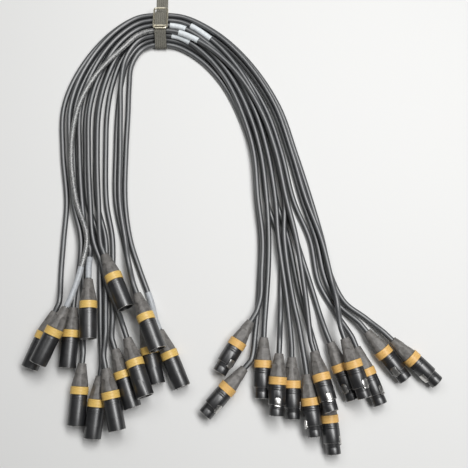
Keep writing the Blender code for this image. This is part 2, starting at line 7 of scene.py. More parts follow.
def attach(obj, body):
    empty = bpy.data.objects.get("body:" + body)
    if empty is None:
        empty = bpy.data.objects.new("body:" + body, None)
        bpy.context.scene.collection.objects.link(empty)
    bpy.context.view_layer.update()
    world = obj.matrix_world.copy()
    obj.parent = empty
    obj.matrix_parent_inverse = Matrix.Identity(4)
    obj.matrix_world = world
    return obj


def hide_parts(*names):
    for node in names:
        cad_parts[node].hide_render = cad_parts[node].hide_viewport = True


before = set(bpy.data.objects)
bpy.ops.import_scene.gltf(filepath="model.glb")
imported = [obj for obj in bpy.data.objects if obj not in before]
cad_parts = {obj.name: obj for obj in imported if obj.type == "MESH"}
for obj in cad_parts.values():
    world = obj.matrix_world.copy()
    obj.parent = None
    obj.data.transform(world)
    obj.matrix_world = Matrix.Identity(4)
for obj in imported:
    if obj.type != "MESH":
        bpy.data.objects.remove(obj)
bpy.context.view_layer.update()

mm = 0.001
mainBody = "bundle"
print("frame loaded")


# Camera, lights and floor

cameraSetup = {
    "focalPixels": 700, "frameWidth": 468, "sensor": 36.0, "nearClip": 0.01,
    "place": (0.0893, -0.4257, 0.7978), "target": (0.0893, -0.2590, 0.0),
}
# the key light's long side lies along the cords
lightSetup = {
    "keyPlace": (0.52, -0.02, 1.28), "keySize": (1.3, 0.40), "keyPower": 20.5,
    "fillPlace": (-0.35, 0.35, 1.3), "fillSize": (1.0, 0.6), "fillPower": 4.0,
    "aim": (0.09, -0.25, 0.0), "worldColor": (1.0, 1.0, 1.0), "worldStrength": 0.10,
}
floorSetup = {"size": 6.0, "middle": (0.09, -0.25, 0.0), "color": (0.74, 0.74, 0.73),
              "roughness": 0.8}


def deselectAll():
    if bpy.context.object and bpy.context.object.mode != "OBJECT":
        bpy.ops.object.mode_set(mode="OBJECT")
    bpy.ops.object.select_all(action="DESELECT")


def aimAt(obj, target):
    toward = Vector(target) - obj.location
    obj.rotation_euler = toward.to_track_quat("-Z", "Y").to_euler()


def addCamera(setup):
    deselectAll()
    bpy.ops.object.camera_add(location=setup["place"])
    camera = bpy.context.object
    camera.data.sensor_width = setup["sensor"]
    camera.data.lens = setup["sensor"] * setup["focalPixels"] / setup["frameWidth"]
    camera.data.clip_start = setup["nearClip"]
    aimAt(camera, setup["target"])
    bpy.context.scene.camera = camera


def addLight(name, place, size, power, aim):
    deselectAll()
    bpy.ops.object.light_add(type="AREA", location=place)
    light = bpy.context.object
    light.name = name
    light.data.shape = "RECTANGLE"
    light.data.size, light.data.size_y = size
    light.data.energy = power
    aimAt(light, aim)


def addStudio(light, floor):
    bpy.context.scene.view_settings.view_transform = "Standard"
    addLight("keyLight", light["keyPlace"], light["keySize"], light["keyPower"], light["aim"])
    addLight("fillLight", light["fillPlace"], light["fillSize"], light["fillPower"], light["aim"])
    world = bpy.data.worlds.new("studio")
    bpy.context.scene.world = world
    world.use_nodes = True
    background = world.node_tree.nodes["Background"]
    background.inputs["Color"].default_value = (*light["worldColor"], 1.0)
    background.inputs["Strength"].default_value = light["worldStrength"]
    deselectAll()
    bpy.ops.mesh.primitive_plane_add(size=floor["size"], location=floor["middle"])
    plane = bpy.context.object
    plane.name = "studioFloor"
    paint = bpy.data.materials.new("floorPaint")
    paint.use_nodes = True
    surface = paint.node_tree.nodes["Principled BSDF"]
    surface.inputs["Base Color"].default_value = (*floor["color"], 1.0)
    surface.inputs["Roughness"].default_value = floor["roughness"]
    plane.data.materials.append(paint)


addCamera(cameraSetup)
addStudio(lightSetup, floorSetup)
print("camera and studio set")


# Materials. Each is a Principled shader with noise on Object or UV coordinates. In a finish a noise
# is given as scale, detail and sometimes roughness, a bump as strength and depth in metres, and
# stops are the places of a ramp's two colours.


def newMaterial(name, color, finish, roughness):
    material = bpy.data.materials.new(name)
    material.use_nodes = True
    surface = material.node_tree.nodes["Principled BSDF"]
    surface.inputs["Base Color"].default_value = (*color, 1.0)
    surface.inputs["Roughness"].default_value = roughness
    surface.inputs["Metallic"].default_value = finish.get("metallic", 0.0)
    surface.inputs["Specular IOR Level"].default_value = finish.get("specular", 0.5)
    surface.inputs["IOR"].default_value = finish.get("ior", 1.5)
    return material


def addNode(material, kind, **values):
    node = material.node_tree.nodes.new(kind)
    for key, value in values.items():
        if key in node.inputs:
            node.inputs[key].default_value = value
        else:
            setattr(node, key, value)
    return node


def joinNodes(material, source, output, target, entry):
    material.node_tree.links.new(source.outputs[output], target.inputs[entry])


def toSurface(material, source, output, entry):
    joinNodes(material, source, output, material.node_tree.nodes["Principled BSDF"], entry)


def coordinates(material, kind="Object", scale=(1, 1, 1)):
    texture = addNode(material, "ShaderNodeTexCoord")
    mapping = addNode(material, "ShaderNodeMapping", Scale=scale)
    joinNodes(material, texture, kind, mapping, "Vector")
    return mapping


def splitCoordinates(material, kind="Object"):
    place = addNode(material, "ShaderNodeSeparateXYZ")
    joinNodes(material, coordinates(material, kind), "Vector", place, "Vector")
    return place


def noiseOn(material, mapping, scale, detail, roughness=0.55):
    noise = addNode(material, "ShaderNodeTexNoise", Scale=scale, Detail=detail, Roughness=roughness)
    joinNodes(material, mapping, "Vector", noise, "Vector")
    return noise


def rampOf(material, source, output, stops, colors):
    ramp = addNode(material, "ShaderNodeValToRGB")
    for element, place, color in zip(ramp.color_ramp.elements, stops, colors):
        element.position = place
        element.color = (*color, 1.0)
    joinNodes(material, source, output, ramp, "Fac")
    return ramp


def gray(value):
    return (value, value, value)


def rangeOf(material, source, output, fromRange=(0.0, 1.0), toRange=(0.0, 1.0)):
    span = addNode(material, "ShaderNodeMapRange")
    span.inputs["From Min"].default_value, span.inputs["From Max"].default_value = fromRange
    span.inputs["To Min"].default_value, span.inputs["To Max"].default_value = toRange
    joinNodes(material, source, output, span, "Value")
    return span


def mathOf(material, operation, *sources):
    # each source is a node and the name of its output
    node = addNode(material, "ShaderNodeMath", operation=operation)
    for entry, (source, output) in enumerate(sources):
        joinNodes(material, source, output, node, entry)
    return node


def mixColors(material, mask, below, color):
    # MixRGB keeps one plain set of sockets: Fac, Color1 and Color2
    mix = addNode(material, "ShaderNodeMixRGB", Color2=(*color, 1.0))
    joinNodes(material, mask, "Color", mix, "Fac")
    joinNodes(material, below, "Color", mix, "Color1")
    return mix


def addRoughness(material, source, roughness):
    toSurface(material, rangeOf(material, source, "Fac", toRange=roughness), "Result", "Roughness")


def addBump(material, source, output, strength, depth):
    bump = addNode(material, "ShaderNodeBump", Strength=strength, Distance=depth)
    joinNodes(material, source, output, bump, "Height")
    toSurface(material, bump, "Normal", "Normal")


def mottledMaterial(name, finish, dust=0.0):
    # the patches give colour and roughness, the grain gives the bump. Dust is a layer of pale
    # specks on the left arm of the bundle, which fades out at the tie
    material = newMaterial(name, finish["dark"], finish, finish["roughness"][0])
    place = coordinates(material)
    patches = noiseOn(material, place, *finish["patches"])
    tone = rampOf(material, patches, "Fac", finish["stops"], (finish["dark"], finish["light"]))
    if dust:
        specks = noiseOn(material, place, *finish["specks"])
        leftArm = rangeOf(material, splitCoordinates(material), "X", finish["dustFade"])
        worn = mathOf(material, "MULTIPLY", (specks, "Fac"), (leftArm, "Result"))
        mask = rampOf(material, worn, "Value", finish["speckStops"], (gray(0.0), gray(dust)))
        tone = mixColors(material, mask, tone, finish["dustColor"])
    toSurface(material, tone, "Color", "Base Color")
    addRoughness(material, patches, finish["roughness"])
    addBump(material, noiseOn(material, place, *finish["grain"]), "Fac", *finish["bump"])
    return material


def colored(finish, color, **more):
    # the dark tone of the patches is a share of the colour
    dark = tuple(finish["shade"] * channel for channel in color)
    return {**finish, "dark": dark, "light": color, **more}


jacketFinish = {"dark": (0.014, 0.016, 0.018), "light": (0.032, 0.036, 0.039), "stops": (0.35, 0.7),
                "roughness": (0.43, 0.52), "specular": 1.0, "ior": 1.75,
                "patches": (30.0, 4.0), "grain": (1400.0, 2.0), "bump": (0.5, 0.00002),
                "dustColor": (0.42, 0.42, 0.40), "dustFade": (0.05, -0.01),
                "specks": (900.0, 1.0), "speckStops": (0.48, 0.60)}
bootFinish = {"dark": (0.100, 0.095, 0.089), "light": (0.200, 0.190, 0.179), "stops": (0.36, 0.64),
              "roughness": (0.42, 0.60), "specular": 0.45,
              "patches": (190.0, 6.0, 0.65), "grain": (2600.0, 2.0), "bump": (0.6, 0.00005)}
insertFinish = {"dark": gray(0.014), "light": gray(0.03), "stops": (0.3, 0.7),
                "roughness": (0.5, 0.5),
                "patches": (1500.0, 3.0), "grain": (1500.0, 3.0), "bump": (0.4, 0.00003)}
metalFinish = {"shade": 0.72, "stops": (0.3, 0.6), "metallic": 1.0,
               "patches": (500.0, 4.0), "grain": (500.0, 4.0), "bump": (0.2, 0.00003)}
sleeveFinish = {"shade": 0.80, "stops": (0.3, 0.6), "roughness": (0.28, 0.45),
                "patches": (350.0, 4.0), "grain": (350.0, 4.0), "bump": (0.3, 0.00006)}

ringFinish = {"deep": (0.61, 0.35, 0.100), "bright": (0.77, 0.48, 0.160),
              "paleDeep": (0.60, 0.37, 0.095), "paleBright": (0.75, 0.52, 0.155),
              "stops": (0.38, 0.54), "roughness": (0.36, 0.50), "stretch": (4.0, 14.0, 1.0),
              "lines": (3.0, 2.0), "wear": (260.0, 4.0), "bump": (0.4, 0.00003)}


def ringMaterial(name, deep, bright, finish):
    # faint lines that run round the ring
    material = newMaterial(name, bright, finish, finish["roughness"][0])
    lines = noiseOn(material, coordinates(material, "UV", finish["stretch"]), *finish["lines"])
    wear = noiseOn(material, coordinates(material), *finish["wear"])
    tone = rampOf(material, lines, "Fac", finish["stops"], (deep, bright))
    toSurface(material, tone, "Color", "Base Color")
    addRoughness(material, wear, finish["roughness"])
    addBump(material, lines, "Fac", *finish["bump"])
    return material


shellFinish = {"dark": (0.006, 0.006, 0.007), "light": (0.014, 0.015, 0.017), "stops": (0.4, 0.75),
               "roughness": (0.34, 0.44), "specular": 1.0, "ior": 1.6, "wear": (160.0, 5.0),
               "stretch": (3.0, 40.0, 1.0), "lathe": (2.0, 2.0), "bump": (0.2, 0.000008),
               # the bare colour is worn metal at the rim, and it also paints the glint at the rim
               # and the highlight line at the shoulder
               "bareAndGlintColor": (0.62, 0.61, 0.59), "chips": (900.0, 3.0), "chipStops": (0.40, 0.46),
               "maleRim": 6.62, "femaleRim": 6.56, "rimBand": 0.05,
               "shoulder": 5.44, "shoulderBand": 0.025}


def shellMaterial(name, rim, finish, shoulder=None):
    # black coat, worn to bare metal along the open rim, which also paints the glint there; the bare
    # line along the shoulder, where there is one, is a painted highlight.
    # rim and shoulder are places along the shell in v, whose unit is 10 mm
    material = newMaterial(name, finish["dark"], finish, finish["roughness"][0])
    lathe = noiseOn(material, coordinates(material, "UV", finish["stretch"]), *finish["lathe"])
    wear = noiseOn(material, coordinates(material), *finish["wear"])
    chips = noiseOn(material, coordinates(material), *finish["chips"])
    tone = rampOf(material, wear, "Fac", finish["stops"], (finish["dark"], finish["light"]))
    place = splitCoordinates(material, "UV")
    band = (rangeOf(material, place, "Y", (rim, rim + finish["rimBand"])), "Result")
    # the line along the shoulder is a painted highlight, made of bare metal
    if shoulder:
        line = mathOf(material, "COMPARE", (place, "Y"))
        line.inputs[1].default_value = shoulder
        line.inputs[2].default_value = finish["shoulderBand"]
        band = (mathOf(material, "MAXIMUM", band, (line, "Value")), "Value")
    rubAndGlint = mathOf(material, "MULTIPLY", band, (chips, "Fac"))
    # this mask is worn metal at the rim and painted glint and highlight at the rim and shoulder; it
    # sets both colour and metallic
    bare = rampOf(material, rubAndGlint, "Value", finish["chipStops"], (gray(0.0), gray(1.0)))
    tone = mixColors(material, bare, tone, finish["bareAndGlintColor"])
    toSurface(material, tone, "Color", "Base Color")
    toSurface(material, bare, "Color", "Metallic")
    addRoughness(material, wear, finish["roughness"])
    addBump(material, lathe, "Fac", *finish["bump"])
    return material


# a wave texture of this scale has one band to the unit
# the webbing's dark tone is painted shade, which the weave puts between the yarns and along the
# ribs
strapFinish = {"dark": (0.030, 0.028, 0.022), "light": (0.29, 0.28, 0.24), "stops": (0.42, 0.92),
               "roughness": 0.85, "specular": 0.25, "bandScale": math.pi / 10,
               "bandsAcross": 12.0, "rowsPerMetre": 900.0, "fibre": (1200.0, 4.0),
               "bump": (0.7, 0.00015)}


def strapMaterial(finish):
    # u runs across the webbing from 0 to 1, and v along it in metres
    material = newMaterial("oliveWebbing", finish["light"], finish, finish["roughness"])
    waves = []
    for axis, scale in (("X", (finish["bandsAcross"], 0.0, 0.0)),
                        ("Y", (0.0, finish["rowsPerMetre"], 0.0))):
        wave = addNode(material, "ShaderNodeTexWave", wave_type="BANDS", bands_direction=axis,
                       Scale=finish["bandScale"])
        joinNodes(material, coordinates(material, "UV", scale), "Vector", wave, "Vector")
        waves.append((wave, "Fac"))
    # the weave's dark bands are painted shade between the yarns and along the ribs; the fibre noise
    # is the webbing's own uneven tone
    weaveAndShade = mathOf(material, "MULTIPLY", *waves)
    fibre = noiseOn(material, coordinates(material), *finish["fibre"])
    clothAndShade = mathOf(material, "ADD", (weaveAndShade, "Value"), (fibre, "Fac"))
    tone = rampOf(material, clothAndShade, "Value", finish["stops"], (finish["dark"], finish["light"]))
    toSurface(material, tone, "Color", "Base Color")
    addBump(material, clothAndShade, "Value", *finish["bump"])
    return material


jacket = mottledMaterial("cordJacket", jacketFinish)
dustyJacket = mottledMaterial("dustyJacket", jacketFinish, dust=0.8)
rubber = mottledMaterial("bootRubber", bootFinish)
amber = ringMaterial("amberRing", ringFinish["deep"], ringFinish["bright"], ringFinish)
paleAmber = ringMaterial("paleAmberRing", ringFinish["paleDeep"], ringFinish["paleBright"],
                         ringFinish)
maleBlack = shellMaterial("maleShellBlack", shellFinish["maleRim"], shellFinish)
femaleBlack = shellMaterial("femaleShellBlack", shellFinish["femaleRim"], shellFinish,
                            shellFinish["shoulder"])
insertBlack = mottledMaterial("insertPlastic", insertFinish)
chrome = mottledMaterial("latchChrome", colored(metalFinish, (0.66, 0.65, 0.63),
                                                roughness=(0.20, 0.42)))
silver = mottledMaterial("pinSilver", colored(metalFinish, (0.83, 0.80, 0.72),
                                              roughness=(0.16, 0.30)))
brass = mottledMaterial("buckleBrass", colored(metalFinish, (0.80, 0.75, 0.60),
                                               roughness=(0.30, 0.45)))
webbing = strapMaterial(strapFinish)
whiteSleeve = mottledMaterial("whiteSleeve", colored(sleeveFinish, (0.74, 0.78, 0.80)))
graySleeve = mottledMaterial("graySleeve", colored(sleeveFinish, (0.44, 0.46, 0.48)))
print("materials ready")


# Routes. Places are the ones of the solids, in metres.

cord = {"radius": 3.05 * mm, "sides": 6, "inBoot": 1.2 * mm, "gap": 0.3 * mm,
        "steps": 8, "heldSteps": 2}
connector = {"restZ": 9.9 * mm, "maleLength": 67.1 * mm, "femaleLength": 66.5 * mm,
             "straightRun": 11 * mm, "flatRun": 36 * mm}
# heights of the cords' middles in the arms, and at the tie, where they lie closer
layers = {"low": 3.35 * mm, "upper": 9.75 * mm, "top": 16.15 * mm}
tie = {"y": -3.5 * mm, "pitch": 6.6 * mm, "halfLength": 8.5 * mm, "pull": 0.3, "lastSlot": 3.0,
       "low": 4.95 * mm, "upper": 10.626 * mm, "top": 16.302 * mm}
# a lane is 0 at the outer edge of an arm and 1 at its inner edge. The stations give both edges,
# from the tie on, and spread how far a cord has changed from its slot to its own lane there
spread = (0.0, 0.3, 0.6, 0.85, 1.0, 1.0)
leftStations = [
    ((-0.031, 0.013), (-0.0244, -0.0300)),
    ((-0.0655, -0.0110), (-0.0356, -0.0495)),
    ((-0.0985, -0.056), (-0.0378, -0.079)),
    ((-0.1155, -0.104), (-0.038, -0.112)),
    ((-0.1140, -0.160), (-0.039, -0.160)),
    ((-0.1065, -0.222), (-0.038, -0.222)),
    ((-0.1042, -0.267), (-0.0321, -0.267)),
]
rightStations = [
    ((0.031, 0.013), (0.0245, -0.0275)),
    ((0.0715, -0.0100), (0.051, -0.0450)),
    ((0.110, -0.049), (0.077, -0.0755)),
    ((0.143, -0.103), (0.0975, -0.117)),
    ((0.162, -0.161), (0.1115, -0.162)),
    ((0.179, -0.219), (0.116, -0.220)),
    ((0.1915, -0.267), (0.120, -0.267)),
]
topLanes = {"left": (0.667, 0.62, 0.40, 0.27, 0.17), "right": (0.667, 0.62, 0.56, 0.51, 0.48)}


def endOf(x, y, heading, lane, via=None, lifts=(0.0, 0.0), roll=0):
    # lifts are the heights of the cord end and the open end above a plug on the floor
    rear, front = (connector["restZ"] + lift for lift in lifts)
    return {"x": x, "y": y, "heading": heading, "lane": lane, "via": via, "rearZ": rear,
            "frontZ": front, "roll": roll}


# layer and slot at the tie, male end and female end of each cable
cables = {
    1: ("top", -1.0,
        endOf(-0.0958, -0.3472, -24.7, (0.20, 0.36), [(-0.0835, -0.306, 0.020)], (0.0166, 0.0166)),
        endOf(0.1770, -0.3948, 14.3, (0.47, 0.44), [(0.1700, -0.3378)], (0.0101, 0.0186), 8)),
    2: ("upper", 2.5, endOf(-0.0915, -0.3455, -3.1, (0.13, 0.245), [(-0.0872, -0.305)]),
        endOf(0.2098, -0.3808, 17.5, (0.10, 0.03), [(0.1990, -0.310), (0.2045, -0.340, 0.017)],
              (0.0163, 0.0163), 30)),
    3: ("upper", 1.5, endOf(-0.0743, -0.3141, 2.2, (0.28, 0.335), None, (0.0068, 0.0088)),
        endOf(0.1688, -0.4192, 6.7, (0.50, 0.62), [(0.1560, -0.3371), (0.1620, -0.367)],
              (0.0066, 0.0066), -75)),
    4: ("upper", 0.5,
        endOf(-0.0288, -0.3801, 20.1, (0.42, 0.44),
              [(-0.0620, -0.295), (-0.0550, -0.319), (-0.0410, -0.350)], (0.0081, 0.0141)),
        endOf(0.1533, -0.4008, -0.2, (0.66, 0.715), [(0.1490, -0.3371)], roll=80)),
    5: ("upper", -0.5, endOf(-0.0573, -0.2865, 23.9, (0.56,), [], (0.0068, 0.0131)),
        endOf(0.1227, -0.3789, -2.5, (0.82, 0.87), [(0.1278, -0.310)], roll=60)),
    6: ("upper", -1.5,
        endOf(-0.0186, -0.3314, 22.1, (0.92, 0.95), [(-0.0300, -0.296, 0.0145)],
              (0.0126, 0.0201)),
        endOf(0.1082, -0.3611, -32.0, (0.98, 0.97), [(0.1206, -0.308), (0.1195, -0.333)],
              roll=42)),
    7: ("low", 3.0, endOf(-0.1118, -0.3504, -21.9, (0.0, -0.05), [(-0.1088, -0.308)]),
        endOf(0.2656, -0.3819, 45.7, (0.0, 0.0),
              [(0.2000, -0.308), (0.2150, -0.339), (0.2384, -0.3572)], roll=-60)),
    8: ("low", 2.0,
        endOf(-0.0788, -0.4073, -3.4, (0.17, 0.25), [(-0.0830, -0.325), (-0.0810, -0.368)]),
        endOf(0.2376, -0.3724, 37.8, (0.16, 0.10), [(0.1930, -0.311), (0.2062, -0.340)],
              roll=-35)),
    9: ("low", 1.0,
        endOf(-0.0584, -0.4210, -5.2, (0.36, 0.52), [(-0.0642, -0.310), (-0.0606, -0.377)]),
        endOf(0.2254, -0.3897, 21.2, (0.32, 0.20), [(0.1860, -0.316), (0.2040, -0.350)],
              roll=45)),
    10: ("low", 0.0,
         endOf(-0.0507, -0.4131, 12.9, (0.52, 0.625),
               [(-0.0572, -0.317), (-0.0540, -0.370, 0.0105)], (0.0106, 0.0106)),
         endOf(0.1964, -0.3844, 21.0, (0.48, 0.42), [(0.1738, -0.309), (0.1838, -0.344)],
               roll=-40)),
    11: ("low", -1.0,
         endOf(-0.0430, -0.3918, 18.7, (0.68, 0.735), [(-0.0496, -0.320), (-0.0480, -0.356)]),
         endOf(0.1905, -0.4378, 5.5, (0.64, 0.55), [(0.1640, -0.330), (0.1780, -0.380)],
               roll=75)),
    12: ("low", -2.0, endOf(-0.0120, -0.3649, 14.1, (0.84, 0.91), [(-0.0268, -0.315)]),
         endOf(0.1386, -0.3970, -3.5, (0.82, 0.70), [(0.1425, -0.325), (0.1412, -0.358, 0.011)],
               (0.0115, 0.0115), 5)),
    13: ("low", -3.0,
         endOf(0.0062, -0.3713, 23.0, (1.0, 1.02), [(-0.0195, -0.300), (-0.0050, -0.338)]),
         endOf(0.1010, -0.4126, -41.0, (1.0, 1.0), [(0.1176, -0.325), (0.1140, -0.367)],
               roll=50)),
}


def pointing(end, length):
    # the direction from the cord end of a plug to its open end
    heading = math.radians(end["heading"])
    tilt = math.asin((end["frontZ"] - end["rearZ"]) / length)
    flat = math.cos(tilt)
    return Vector((math.sin(heading) * flat, -math.cos(heading) * flat, math.sin(tilt)))


def endMatrix(end, length):
    # carries a connector, which is modelled down -Z, to the end of its cord
    ahead = pointing(end, length)
    up = (Vector((0, 0, 1)) - ahead * ahead.z).normalized()
    up.rotate(Matrix.Rotation(math.radians(end["roll"]), 3, -ahead))
    turn = Matrix((up.cross(-ahead), up, -ahead)).transposed().to_4x4()
    return Matrix.Translation((end["x"], end["y"], end["rearZ"])) @ turn


def lanesOf(layer, slot, end, side):
    if layer == "top":
        return [*topLanes[side], *end["lane"]]
    start = (tie["lastSlot"] - slot) / (2 * tie["lastSlot"])
    lanes = [start + (end["lane"][0] - start) * share for share in spread]
    return [*lanes, *end["lane"][1:]]


def armPoints(layer, slot, end, side, length):
    # from the first station past the tie to the mouth of the boot
    stations = leftStations if side == "left" else rightStations
    z = layers[layer]
    points = []
    for (outer, inner), lane in zip(stations, lanesOf(layer, slot, end, side)):
        spot = Vector(outer).lerp(Vector(inner), lane)
        points.append(Vector((spot.x, spot.y, z)))
    points[0].z += tie["pull"] * (tie[layer] - z)
    mouth = Vector((end["x"], end["y"], end["rearZ"]))
    ahead = pointing(end, length)
    if end["via"] is None:
        flat = Vector((ahead.x, ahead.y, 0)).normalized()
        points.append(Vector((mouth.x, mouth.y, z)) - flat * connector["flatRun"])
    for x, y, *height in end["via"] or ():
        points.append(Vector((x, y, *(height or [z]))))
    points.append(mouth - ahead * connector["straightRun"])
    points.append(mouth - ahead * cord["gap"])
    return points


def routeOf(number):
    # the points of a cord from its male end to its female end, and which one comes first in the tie
    layer, slot, left, right = cables[number]
    across = tie["y"] + slot * tie["pitch"]
    held = [Vector((x, across, tie[layer])) for x in (-tie["halfLength"], tie["halfLength"])]
    leftArm = armPoints(layer, slot, left, "left", connector["maleLength"])
    rightArm = armPoints(layer, slot, right, "right", connector["femaleLength"])
    return [*reversed(leftArm), *held, *rightArm], len(leftArm)


def flatLength(a, b):
    return (b - a).to_2d().length


def smoothPoint(four, share):
    # between the middle two of four points: a centripetal curve as seen from above, and a height
    # that eases from one to the other
    knots = [0.0]
    for a, b in zip(four, four[1:]):
        knots.append(knots[-1] + math.sqrt(flatLength(a, b)))
    at = knots[1] + (knots[2] - knots[1]) * share
    row = [point.to_2d() for point in four]
    for pairs in (((0, 1), (1, 2), (2, 3)), ((0, 2), (1, 3)), ((1, 2),)):
        row = [row[i].lerp(row[i + 1], (at - knots[low]) / (knots[high] - knots[low]))
               for i, (low, high) in enumerate(pairs)]
    ease = share * share * (3 - 2 * share)
    return Vector((row[0].x, row[0].y, four[1].z + (four[2].z - four[1].z) * ease))


def smoothRoute(points, held):
    # held is the first point in the tie, and the run from it to the next one is straight
    result = [points[0]]
    for first, four in enumerate(zip(points, points[1:], points[2:], points[3:])):
        straight = first + 1 == held
        count = cord["heldSteps"] if straight else cord["steps"]
        for step in range(count):
            share = step / count
            result.append(four[1].lerp(four[2], share) if straight else smoothPoint(four, share))
    return [*result, points[-2], points[-1]]


def evenly(line, step):
    # points at equal steps along a line
    spots = [line[0]]
    rest = step
    for a, b in zip(line, line[1:]):
        span = (b - a).length
        while rest <= span:
            spots.append(a.lerp(b, rest / span))
            rest += step
        rest -= span
    return spots


def tubeCurve(name, points, radius, resolution, caps=True):
    curve = bpy.data.curves.new(name, "CURVE")
    curve.dimensions = "3D"
    curve.bevel_depth = radius
    curve.bevel_resolution = resolution
    curve.use_fill_caps = caps
    spline = curve.splines.new("POLY")
    spline.points.add(len(points) - 1)
    for target, point in zip(spline.points, points):
        target.co = (*point, 1.0)
    obj = bpy.data.objects.new(name, curve)
    bpy.context.scene.collection.objects.link(obj)
    return obj


def longer(points, extra):
    # the same path, drawn out at both ends so that it reaches into the boots
    start, end = points[0], points[-1]
    first = start + (start - points[1]).normalized() * extra
    last = end + (end - points[-2]).normalized() * extra
    return [first, *points[1:-1], last]


routes = {}
for number in cables:
    points = longer(smoothRoute(*routeOf(number)), cord["inBoot"])
    routes[number] = points
    piece = tubeCurve(f"jacket_{number:02d}", points, cord["radius"], cord["sides"])
    piece.data.materials.append(dustyJacket if number == 1 else jacket)
    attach(piece, mainBody)
    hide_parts(f"cord_{number:02d}")
print("cords laid")


# Turned pieces. A profile is radius and depth in mm. Depth runs from the cord end of a connector to
# its open end, which is down -Z.


def inMm(values):
    return [value * mm for value in values]


def turnPiece(name, profile, sides):
    deselectAll()
    rings = [inMm(ring) for ring in profile]
    radius, depth = rings[0]
    bpy.ops.mesh.primitive_circle_add(vertices=sides, radius=radius, location=(0, 0, -depth),
                                      fill_type="NGON")
    obj = bpy.context.object
    obj.name = name
    bpy.ops.object.transform_apply(location=True)
    bpy.ops.object.mode_set(mode="EDIT")
    bpy.ops.mesh.select_mode(type="EDGE")
    bpy.ops.mesh.select_all(action="SELECT")
    for nextRadius, nextDepth in rings[1:]:
        bpy.ops.mesh.extrude_edges_move(
            TRANSFORM_OT_translate={"value": (0, 0, depth - nextDepth)})
        scale = nextRadius / radius
        bpy.ops.transform.resize(value=(scale, scale, 1.0), center_override=(0, 0, -nextDepth))
        radius, depth = nextRadius, nextDepth
    bpy.ops.mesh.edge_face_add()
    bpy.ops.mesh.select_all(action="SELECT")
    bpy.ops.mesh.normals_make_consistent(inside=False)
    bpy.ops.object.mode_set(mode="OBJECT")
    return obj


def groove(radius, depth, width, deep, slope=0.1):
    floor = radius - deep
    return [(radius, depth), (floor, depth + slope), (floor, depth + slope + width),
            (radius, depth + 2 * slope + width)]


def selectOnly(obj, others=()):
    deselectAll()
    for other in (*others, obj):
        other.select_set(True)
    bpy.context.view_layer.objects.active = obj


def applyModifier(obj, kind, **values):
    selectOnly(obj)
    bpy.ops.object.modifier_add(type=kind)
    modifier = obj.modifiers[-1]
    for key, value in values.items():
        setattr(modifier, key, value)
    bpy.ops.object.modifier_apply(modifier=modifier.name)


def bevelEdges(obj, width, angle, segments=2):
    # angle is the least one that counts as an edge
    applyModifier(obj, "BEVEL", width=width, segments=segments, limit_method="ANGLE",
                  angle_limit=math.radians(angle))


def cutWith(obj, tool, operation="DIFFERENCE"):
    applyModifier(obj, "BOOLEAN", operation=operation, object=tool, solver="EXACT")
    bpy.data.objects.remove(tool, do_unlink=True)


def smoothShade(obj, angle=32):
    selectOnly(obj)
    bpy.ops.object.shade_smooth_by_angle(angle=math.radians(angle))


def cleanFaces(obj, tiny=0.002 * mm):
    # splits the many-sided faces that a cut leaves, and drops the slivers among them
    selectOnly(obj)
    bpy.ops.object.mode_set(mode="EDIT")
    bpy.ops.mesh.select_all(action="SELECT")
    bpy.ops.mesh.quads_convert_to_tris(ngon_method="BEAUTY")
    bpy.ops.mesh.dissolve_degenerate(threshold=tiny)
    bpy.ops.mesh.remove_doubles(threshold=tiny)
    bpy.ops.mesh.normals_make_consistent(inside=False)
    bpy.ops.object.mode_set(mode="OBJECT")


def roundBox(size, center, bevel, segments=4, alongY=False):
    # rounds all edges, or only the four that run along Y
    deselectAll()
    bpy.ops.mesh.primitive_cube_add(size=1.0)
    obj = bpy.context.object
    obj.scale = size
    obj.location = center
    bpy.ops.object.transform_apply(location=True, scale=True)
    bpy.ops.object.mode_set(mode="EDIT")
    bpy.ops.mesh.select_mode(type="EDGE")
    bpy.ops.mesh.select_all(action="DESELECT")
    bpy.ops.object.mode_set(mode="OBJECT")
    for edge in obj.data.edges:
        a, b = (obj.data.vertices[i].co for i in edge.vertices)
        edge.select = not alongY or abs(b.y - a.y) > 1.0 * mm
    bpy.ops.object.mode_set(mode="EDIT")
    bpy.ops.mesh.bevel(offset=bevel, segments=segments, affect="EDGES")
    bpy.ops.object.mode_set(mode="OBJECT")
    return obj


def layRound(obj):
    # u runs once round the axis, and v along it in units of 10 mm
    mesh = obj.data
    layer = mesh.uv_layers.active or mesh.uv_layers.new(name="UVMap")
    for face in mesh.polygons:
        middle = math.atan2(face.center.y, face.center.x)
        for loop in face.loop_indices:
            point = mesh.vertices[mesh.loops[loop].vertex_index].co
            angle = math.atan2(point.y, point.x)
            if angle - middle > math.pi:
                angle -= 2 * math.pi
            if middle - angle > math.pi:
                angle += 2 * math.pi
            layer.data[loop].uv = (angle / (2 * math.pi), -point.z * 100)


boot = {
    "profile": ((3.2, 2.4), (3.2, 0.5), (3.5, 0.1), (4.2, 0.0), (4.7, 0.35), (4.85, 1.0),
                (4.85, 2.0), (5.1, 2.6), (5.7, 6.0), (6.55, 10.5), (7.45, 14.8), (8.15, 18.2),
                (8.75, 21.4), (9.05, 23.8), (9.12, 24.6), (8.9, 24.95), (4.0, 24.95)),
    "sides": 96, "flats": 4, "flatTurn": 45.0, "flatSize": (7.4, 3.0, 17.0), "tilt": 10.9,
    "archRadius": 3.4, "archSteps": 8, "archDepth": 11.0, "archHeight": 5.8,
    "edge": 0.18, "edgeAngle": 24, "smoothAngle": 30,
}


